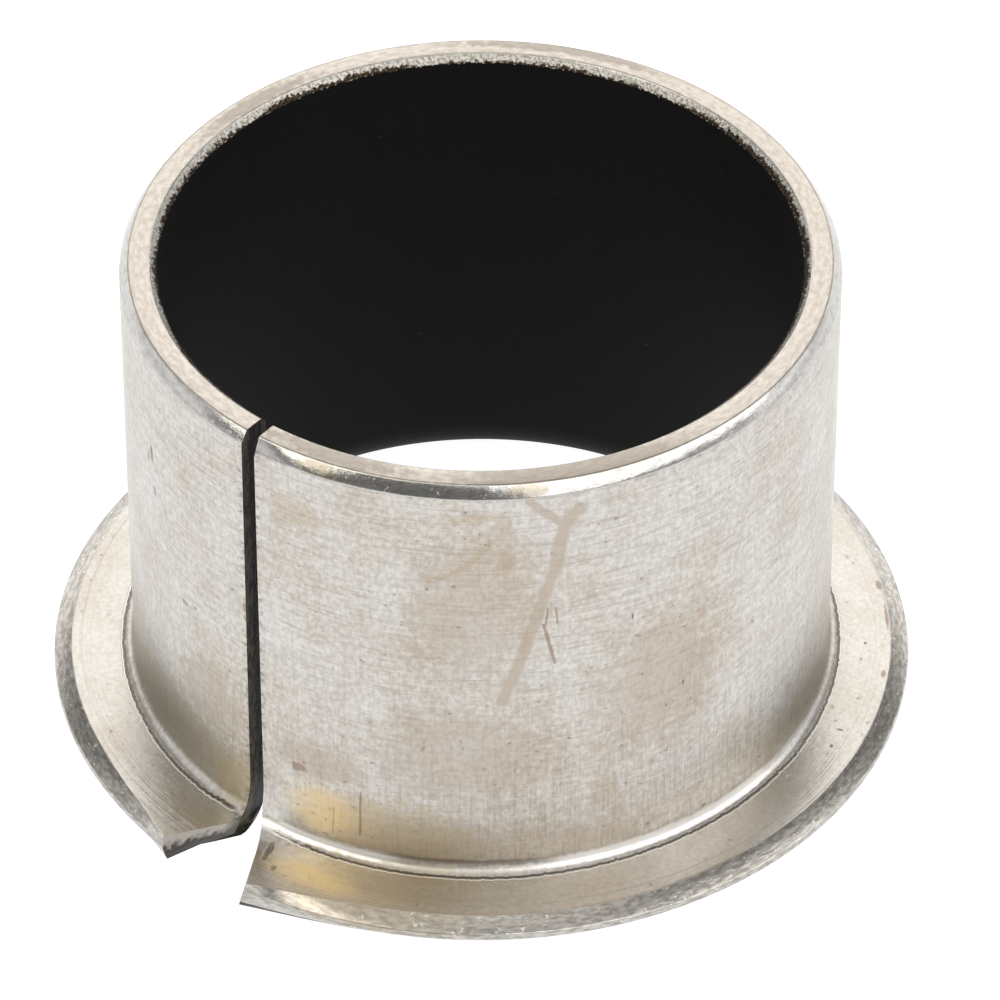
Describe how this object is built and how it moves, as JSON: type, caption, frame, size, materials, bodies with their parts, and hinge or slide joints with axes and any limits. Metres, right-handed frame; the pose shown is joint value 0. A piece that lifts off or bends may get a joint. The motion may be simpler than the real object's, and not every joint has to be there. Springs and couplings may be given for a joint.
{
  "type": "flanged plain bush",
  "caption": "Split, wrapped sleeve bush with a thin flange: tinned steel outside, sintered bronze and a black sliding layer inside.",
  "frame": {"origin": "on the bore axis at the flange's thrust face", "axes": "+Z along the bore axis from the flange to the sleeve's free end; the open seam faces -Y"},
  "size_m": [0.0348, 0.0346, 0.0213],
  "materials": {
    "steel": "bare low-carbon steel strip",
    "sinter_bronze": "sintered porous tin bronze",
    "lining": "matte black filled PTFE",
    "tin": "satin tin plating with fine rolling lines"
  },
  "bodies": {
    "root": {"steel_backing": "steel", "bronze_sinter_layer": "sinter_bronze", "ptfe_lining": "lining", "tin_plating": "tin"}
  },
  "joints": []
}
